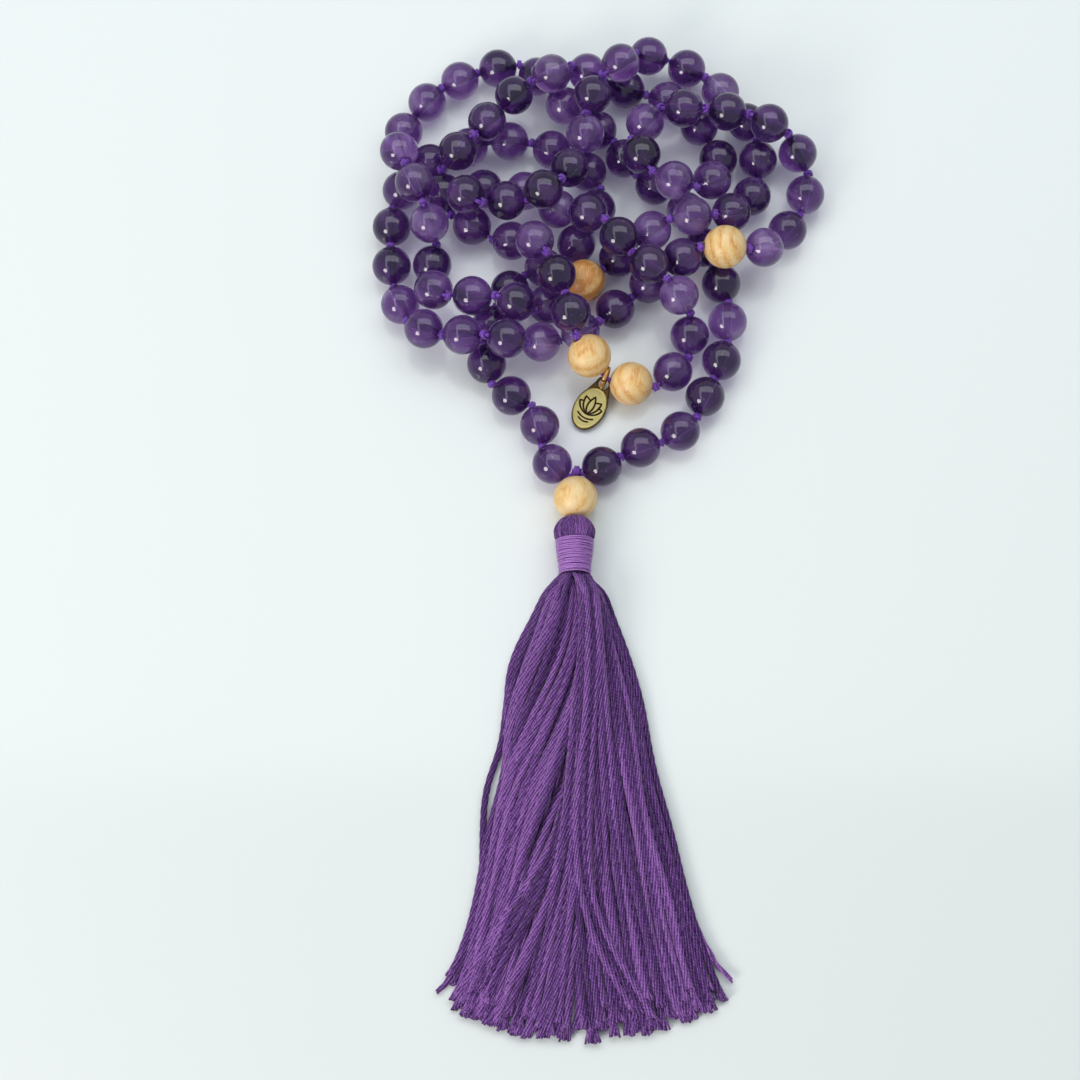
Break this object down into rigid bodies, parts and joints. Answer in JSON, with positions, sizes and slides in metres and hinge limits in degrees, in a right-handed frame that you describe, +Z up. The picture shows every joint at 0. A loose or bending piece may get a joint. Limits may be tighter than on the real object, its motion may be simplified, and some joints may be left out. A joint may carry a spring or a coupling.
{
  "type": "mala prayer beads",
  "caption": "String of round knotted beads laid in a loose pile, with larger wood marker beads, a hanging oval charm, a guru bead and a flared floss tassel.",
  "frame": {"origin": "on the surface the mala lies on, under the middle of its box", "axes": "+Z up from that surface, -Y along the tassel towards its hem, +X to the right as seen from the tassel"},
  "size_m": [0.0934, 0.2046, 0.0174],
  "materials": {
    "amethyst": "polished cloudy violet stone",
    "wood": "satin, pale with brown grain",
    "nylon_cord": "braided violet cord",
    "cotton_floss": "soft violet floss",
    "bronze": "aged, darkened in the recesses"
  },
  "bodies": {
    "pile": {"bead_run_01": "amethyst", "bead_run_02": "amethyst", "bead_run_03": "amethyst", "bead_run_04": "amethyst", "bead_run_05": "amethyst", "bead_run_06": "amethyst", "bead_run_07": "amethyst", "bead_run_08": "amethyst", "bead_run_09": "amethyst", "bead_run_10": "amethyst", "bead_run_11": "amethyst", "bead_run_12": "amethyst", "bead_run_13": "amethyst", "bead_run_14": "amethyst", "bead_run_15": "amethyst", "bead_run_16": "amethyst", "bead_run_17": "amethyst", "bead_run_18": "amethyst", "bead_run_19": "amethyst", "bead_run_20": "amethyst", "bead_run_21": "amethyst", "bead_run_22": "amethyst", "bead_run_23": "amethyst", "bead_run_24": "amethyst", "bead_run_25": "amethyst", "bead_run_26": "amethyst", "bead_run_27": "amethyst", "bead_run_28": "amethyst", "bead_run_29": "amethyst", "bead_run_30": "amethyst", "bead_run_31": "amethyst", "marker_cord_1": "nylon_cord", "charm_cord": "nylon_cord", "marker_cord_4": "nylon_cord"},
    "front_strands": {"front_run": "amethyst", "front_cord": "nylon_cord", "gather_knot": "nylon_cord"},
    "front_bead_1": {"front_bead_1": "amethyst"},
    "front_bead_2": {"front_bead_2": "amethyst"},
    "front_bead_3": {"front_bead_3": "amethyst"},
    "front_bead_4": {"front_bead_4": "amethyst"},
    "wood_marker_1": {"wood_marker_1": "wood"},
    "wood_marker_2": {"wood_marker_2": "wood"},
    "wood_marker_3": {"wood_marker_3": "wood"},
    "wood_marker_4": {"wood_marker_4": "wood"},
    "guru_cord": {"guru_cord": "nylon_cord"},
    "guru_bead": {"guru_bead": "wood"},
    "tassel_loop": {"tassel_loop": "cotton_floss"},
    "tassel": {"tassel_head": "cotton_floss", "tassel_wrap": "cotton_floss", "tassel_skirt": "cotton_floss"},
    "jump_ring": {"jump_ring": "bronze"},
    "charm": {"charm": "bronze"}
  },
  "joints": [
    {"name": "front_lift", "type": "hinge", "parent": "pile", "child": "front_strands", "pos_m": [0.00056, 0.02645, 0.004], "axis": [-0.9997, -0.0258, -0.0005], "range_deg": [0, 40]},
    {"name": "front_bead_1_spin", "type": "hinge", "parent": "front_strands", "child": "front_bead_1", "pos_m": [0.00012, 0.00837, 0.004], "axis": [0.8991, 0.4372, -0.0193], "continuous": true},
    {"name": "front_bead_2_spin", "type": "hinge", "parent": "front_strands", "child": "front_bead_2", "pos_m": [0.00784, 0.01228, 0.004], "axis": [0.9399, 0.3414, 0.01], "continuous": true},
    {"name": "front_bead_3_spin", "type": "hinge", "parent": "front_strands", "child": "front_bead_3", "pos_m": [0.01584, 0.01578, 0.004], "axis": [0.7957, 0.6057, -0.0049], "continuous": true},
    {"name": "front_bead_4_spin", "type": "hinge", "parent": "front_strands", "child": "front_bead_4", "pos_m": [0.02097, 0.02318, 0.004], "axis": [0.4094, 0.9124, 0.0023], "continuous": true},
    {"name": "wood_marker_1_spin", "type": "hinge", "parent": "pile", "child": "wood_marker_1", "pos_m": [-0.00312, 0.04819, 0.00454], "axis": [0.8167, 0.5675, 0.1045], "continuous": true},
    {"name": "wood_marker_2_spin", "type": "hinge", "parent": "pile", "child": "wood_marker_2", "pos_m": [0.00616, 0.0258, 0.00435], "axis": [-0.9792, 0.1528, 0.1338], "continuous": true},
    {"name": "wood_marker_3_spin", "type": "hinge", "parent": "pile", "child": "wood_marker_3", "pos_m": [-0.0023, 0.03018, 0.00835], "axis": [-0.5564, 0.6082, 0.5661], "continuous": true},
    {"name": "wood_marker_4_spin", "type": "hinge", "parent": "pile", "child": "wood_marker_4", "pos_m": [0.02515, 0.05269, 0.01114], "axis": [-0.9981, -0.0047, 0.0619], "continuous": true},
    {"name": "guru_lift", "type": "hinge", "parent": "front_strands", "child": "guru_cord", "pos_m": [-0.00486, 0.00718, 0.0042], "axis": [-1, 0, 0], "range_deg": [0, 20]},
    {"name": "guru_spin", "type": "hinge", "parent": "guru_cord", "child": "guru_bead", "pos_m": [-0.00515, 0.00164, 0.0044], "axis": [-0.0534, -0.9979, 0.0356], "continuous": true},
    {"name": "tassel_swing", "type": "hinge", "parent": "guru_cord", "child": "tassel_loop", "pos_m": [-0.00539, -0.00285, 0.00456], "axis": [0, 0, 1], "range_deg": [-15, 15]},
    {"name": "tassel_lift", "type": "hinge", "parent": "tassel_loop", "child": "tassel", "pos_m": [-0.00539, -0.00285, 0.00456], "axis": [-1, 0, 0], "range_deg": [0, 30]},
    {"name": "ring_swing", "type": "hinge", "parent": "pile", "child": "jump_ring", "pos_m": [0.00101, 0.027, 0.00541], "axis": [-0.779, 0.4664, 0.4192], "range_deg": [0, 60]},
    {"name": "charm_turn", "type": "hinge", "parent": "jump_ring", "child": "charm", "pos_m": [0.00034, 0.02629, 0.00496], "axis": [-0.779, 0.4664, 0.4192], "range_deg": [0, 30]}
  ]
}
